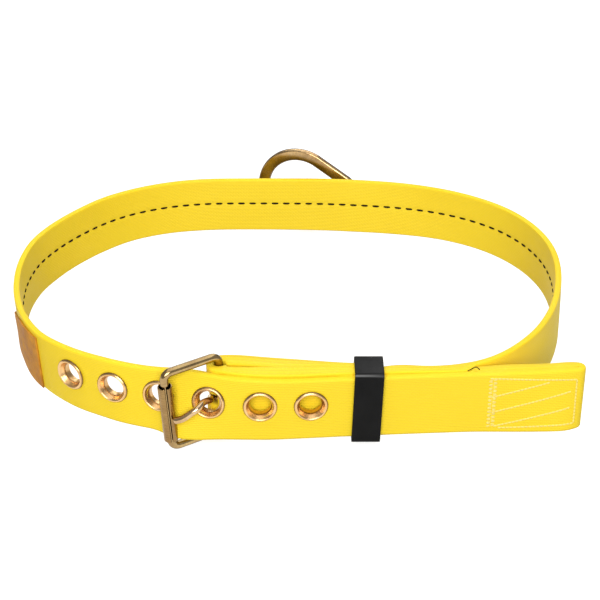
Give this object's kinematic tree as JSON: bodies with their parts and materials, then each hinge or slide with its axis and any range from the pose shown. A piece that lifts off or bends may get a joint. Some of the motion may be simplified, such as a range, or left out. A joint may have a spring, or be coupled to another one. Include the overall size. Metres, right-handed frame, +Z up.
{
  "type": "safety body belt",
  "caption": "Fastened webbing body belt with a roller buckle, metal eyelets, a keeper, a leather patch and a D ring in a webbing loop at the back.",
  "frame": {"origin": "centre of the belt's box in plan, at its lowest point, with the belt standing on its edge", "axes": "+X towards the wearer's left, which is the right of a front view; +Y towards the back, where the D ring hangs; +Z up across the webbing's width"},
  "size_m": [0.3906, 0.3284, 0.0709],
  "materials": {
    "webbing": "yellow woven synthetic webbing, two plies, matt",
    "brass_plate": "brass-plated wire, tube and eyelets, glossy, a little worn",
    "bronze_plate": "darker bronze-toned plated ring, satin",
    "keeper_black": "black, matt, soft edges",
    "patch_leather": "orange-brown leather, mottled, matt"
  },
  "bodies": {
    "belt": {"webbing_strap": "webbing", "ring_loop": "webbing", "buckle_frame": "brass_plate", "buckle_tongue": "brass_plate", "keeper": "keeper_black", "leather_patch": "patch_leather", "grommet_1": "brass_plate", "grommet_2": "brass_plate", "grommet_3": "brass_plate", "grommet_4": "brass_plate", "grommet_5": "brass_plate", "grommet_6": "brass_plate"},
    "ring": {"d_ring": "bronze_plate"},
    "roller": {"buckle_roller": "brass_plate"}
  },
  "joints": [
    {"name": "ring_swing", "type": "hinge", "parent": "belt", "child": "ring", "pos_m": [0.04516, 0.14042, 0.02933], "axis": [0, 0, 1], "range_deg": [-174, 19]},
    {"name": "roller_spin", "type": "hinge", "parent": "belt", "child": "roller", "pos_m": [-0.07579, -0.15697, 0.03093], "axis": [-0.0554, -0.0295, 0.998], "continuous": true}
  ]
}
